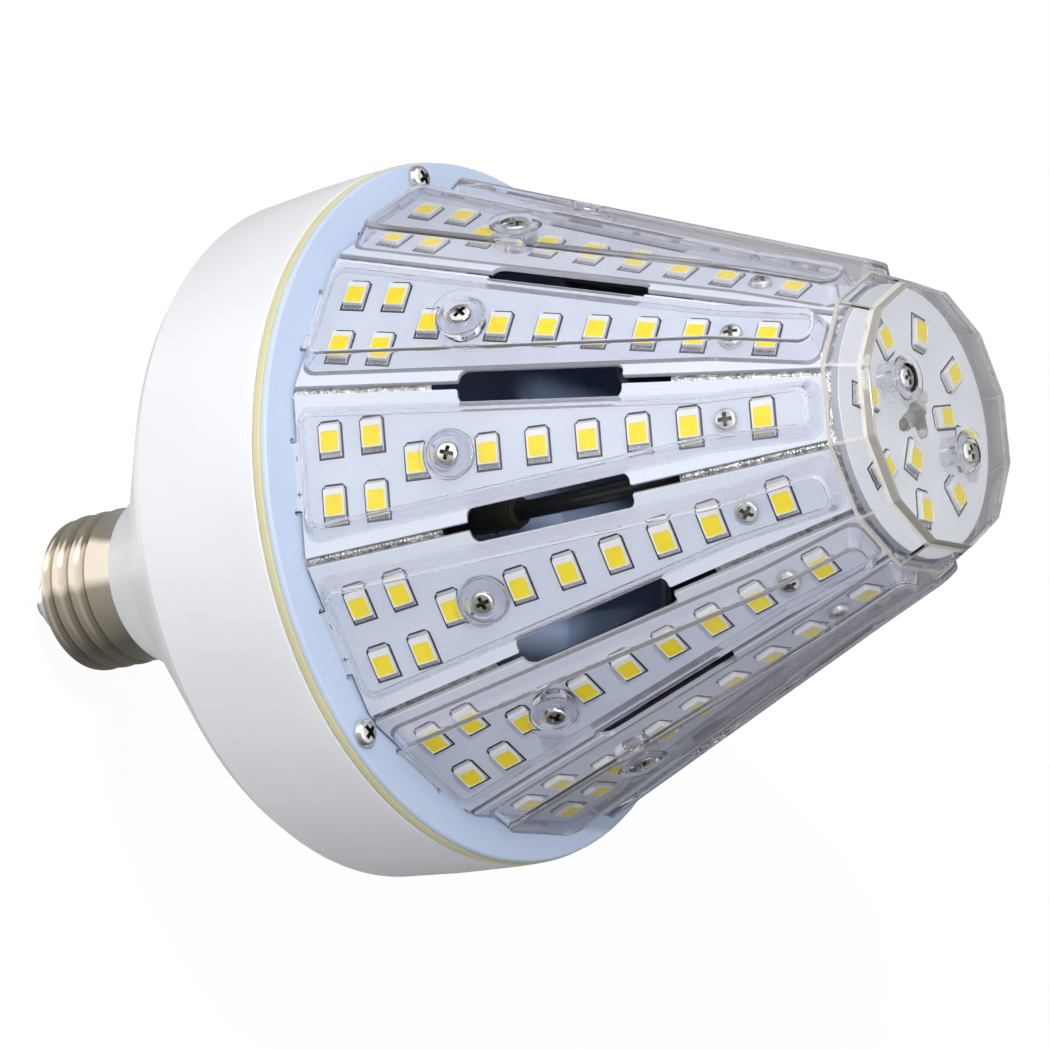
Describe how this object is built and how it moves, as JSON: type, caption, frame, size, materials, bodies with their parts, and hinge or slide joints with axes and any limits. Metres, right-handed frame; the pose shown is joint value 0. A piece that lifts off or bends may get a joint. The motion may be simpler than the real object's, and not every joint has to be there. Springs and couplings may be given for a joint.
{
  "type": "led light bulb",
  "caption": "Conical LED lamp: facetted metal cone of lamp boards under clear covers, round lit end, white funnel housing and standard screw base.",
  "frame": {"origin": "on the lamp's axis, where the screw thread meets the plain skirt of the shell", "axes": "+Z along the lamp's axis, from the screw base towards the lit end"},
  "size_m": [0.1112, 0.1112, 0.1772],
  "materials": {
    "shell_metal": "nickel-plated",
    "contact_metal": "soldered",
    "insulator_white": "gloss",
    "housing_white": "satin",
    "gasket_foam": "matte",
    "plate_white": "satin",
    "sink_metal": "bead-blasted",
    "board_white": "satin",
    "led_yellow": "satin",
    "lens_clear": "gloss",
    "screw_steel": "zinc-plated",
    "driver_laminate": "satin",
    "transformer_tape": "satin",
    "capacitor_sleeve": "gloss",
    "wire_red": "satin",
    "cable_black": "satin"
  },
  "bodies": {
    "root": {"base_insulator": "insulator_white", "base_plate": "plate_white", "board_leds_01": "led_yellow", "board_leds_02": "led_yellow", "board_leds_03": "led_yellow", "board_leds_04": "led_yellow", "board_leds_05": "led_yellow", "board_leds_06": "led_yellow", "board_leds_07": "led_yellow", "board_leds_08": "led_yellow", "board_leds_09": "led_yellow", "board_leds_10": "led_yellow", "board_leds_11": "led_yellow", "board_leds_12": "led_yellow", "board_screws": "screw_steel", "centre_contact": "contact_metal", "driver_board": "driver_laminate", "driver_capacitors": "capacitor_sleeve", "driver_transformer": "transformer_tape", "heat_sink": "sink_metal", "housing": "housing_white", "lamp_cable": "cable_black", "led_board_01": "board_white", "led_board_02": "board_white", "led_board_03": "board_white", "led_board_04": "board_white", "led_board_05": "board_white", "led_board_06": "board_white", "led_board_07": "board_white", "led_board_08": "board_white", "led_board_09": "board_white", "led_board_10": "board_white", "led_board_11": "board_white", "led_board_12": "board_white", "lens_cover_01": "lens_clear", "lens_cover_02": "lens_clear", "lens_cover_03": "lens_clear", "lens_cover_04": "lens_clear", "lens_cover_05": "lens_clear", "lens_cover_06": "lens_clear", "lens_cover_07": "lens_clear", "lens_cover_08": "lens_clear", "lens_cover_09": "lens_clear", "lens_cover_10": "lens_clear", "lens_cover_11": "lens_clear", "lens_cover_12": "lens_clear", "lens_screws": "screw_steel", "rim_gasket": "gasket_foam", "rim_screws": "screw_steel", "screw_shell": "shell_metal", "supply_wires": "wire_red", "top_board": "board_white", "top_cover": "lens_clear", "top_leds": "led_yellow", "top_screws": "screw_steel"}
  },
  "joints": []
}
